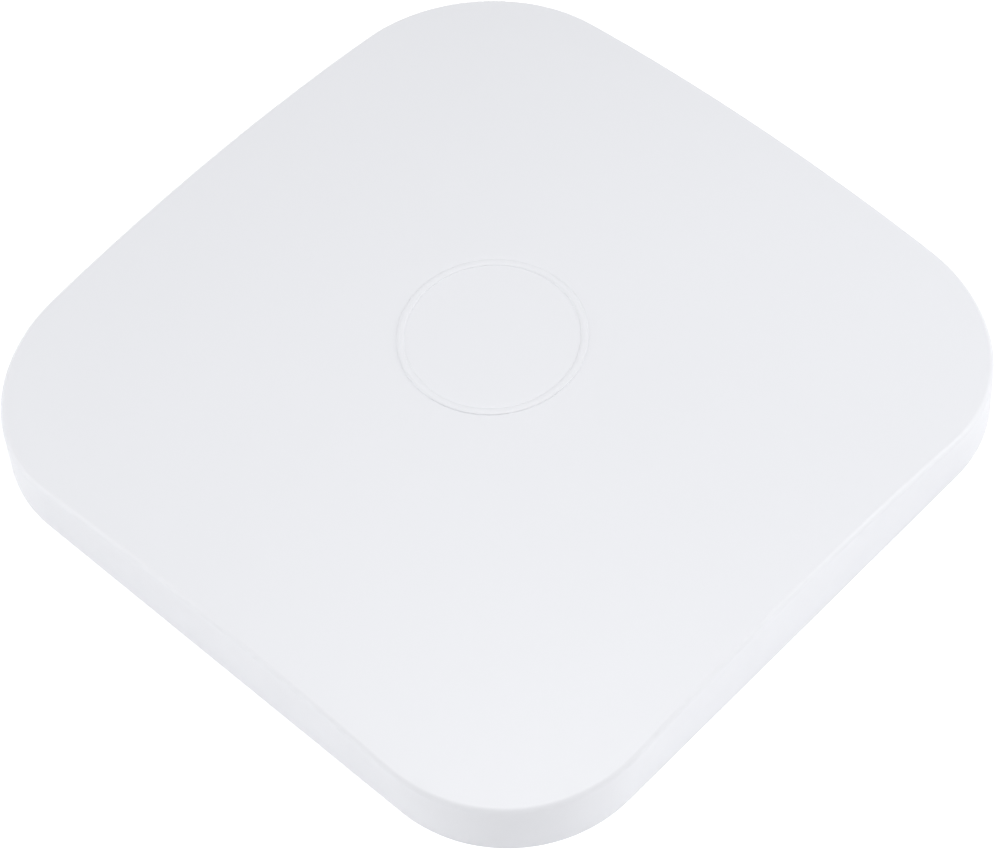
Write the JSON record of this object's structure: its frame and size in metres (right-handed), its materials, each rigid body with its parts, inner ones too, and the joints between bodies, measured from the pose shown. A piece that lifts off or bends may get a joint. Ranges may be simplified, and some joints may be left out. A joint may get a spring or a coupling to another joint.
{
  "type": "ceiling access point",
  "caption": "Domed square wireless ceiling access point with large round corners, a rear cable bay and a round twist-lock ceiling plate.",
  "frame": {"origin": "centre of the rear face, which lies against the ceiling", "axes": "+Z out of the ceiling through the dome, +Y towards the cable exit, +X to the right of it"},
  "size_m": [0.185, 0.185, 0.031],
  "materials": {
    "case_plastic": "satin moulded white",
    "bracket_plastic": "matt moulded white",
    "label_film": "plain pale film with no print",
    "board_laminate": "green solder mask",
    "steel": "zinc plated",
    "tinned_steel": "bright tin plate",
    "aluminium": "plain extruded",
    "black_plastic": "matt black",
    "thermal_pad": "soft grey pad",
    "clear_plastic": "clear moulded",
    "lead_jacket": "dark thin jacket"
  },
  "bodies": {
    "case": {"top_cover": "case_plastic", "base_shell": "case_plastic", "cable_knockout": "case_plastic", "rear_label": "label_film", "main_board": "board_laminate", "case_screw_1": "steel", "case_screw_2": "steel", "case_screw_3": "steel", "case_screw_4": "steel", "board_screw_1": "steel", "board_screw_2": "steel", "board_screw_3": "steel", "board_screw_4": "steel", "heat_sink_screw_left": "steel", "heat_sink_screw_right": "steel", "ethernet_jack_in": "tinned_steel", "ethernet_jack_out": "tinned_steel", "radio_left_shield": "tinned_steel", "processor_shield": "tinned_steel", "radio_right_shield": "tinned_steel", "antenna_low_band_left": "tinned_steel", "antenna_low_band_right": "tinned_steel", "antenna_high_band_left": "tinned_steel", "antenna_high_band_right": "tinned_steel", "rf_socket_low_band_left": "tinned_steel", "rf_socket_low_band_right": "tinned_steel", "rf_socket_high_band_left": "tinned_steel", "rf_socket_high_band_right": "tinned_steel", "capacitor_1": "tinned_steel", "capacitor_2": "tinned_steel", "heat_sink": "aluminium", "dc_power_jack": "black_plastic", "reset_switch": "black_plastic", "mode_switch": "black_plastic", "radio_left_chip": "black_plastic", "processor_chip": "black_plastic", "radio_right_chip": "black_plastic", "memory_chip": "black_plastic", "flash_chip": "black_plastic", "network_switch_chip": "black_plastic", "lan_transformer_in": "black_plastic", "lan_transformer_out": "black_plastic", "inductor_1": "black_plastic", "inductor_2": "black_plastic", "radio_left_thermal_pad": "thermal_pad", "processor_thermal_pad": "thermal_pad", "radio_right_thermal_pad": "thermal_pad", "status_led": "clear_plastic", "light_pipe": "clear_plastic", "antenna_lead_low_band_left": "lead_jacket", "antenna_lead_low_band_right": "lead_jacket", "antenna_lead_high_band_left": "lead_jacket", "antenna_lead_high_band_right": "lead_jacket"},
    "ceiling_plate": {"mounting_plate": "bracket_plastic"},
    "reset_button": {"reset_button": "black_plastic"},
    "mode_button": {"mode_button": "black_plastic"}
  },
  "joints": [
    {"name": "twist_lock", "type": "hinge", "parent": "case", "child": "ceiling_plate", "pos_m": [0, 0, 0], "axis": [0, 0, 1], "range_deg": [0, 16]},
    {"name": "reset_press", "type": "slide", "parent": "case", "child": "reset_button", "axis": [0, -1, 0], "range_m": [0, 0.0005], "stiffness_N_per_m": 2000, "springref_m": -0.0003},
    {"name": "mode_press", "type": "slide", "parent": "case", "child": "mode_button", "axis": [0, -1, 0], "range_m": [0, 0.0005], "stiffness_N_per_m": 2000, "springref_m": -0.0003}
  ]
}
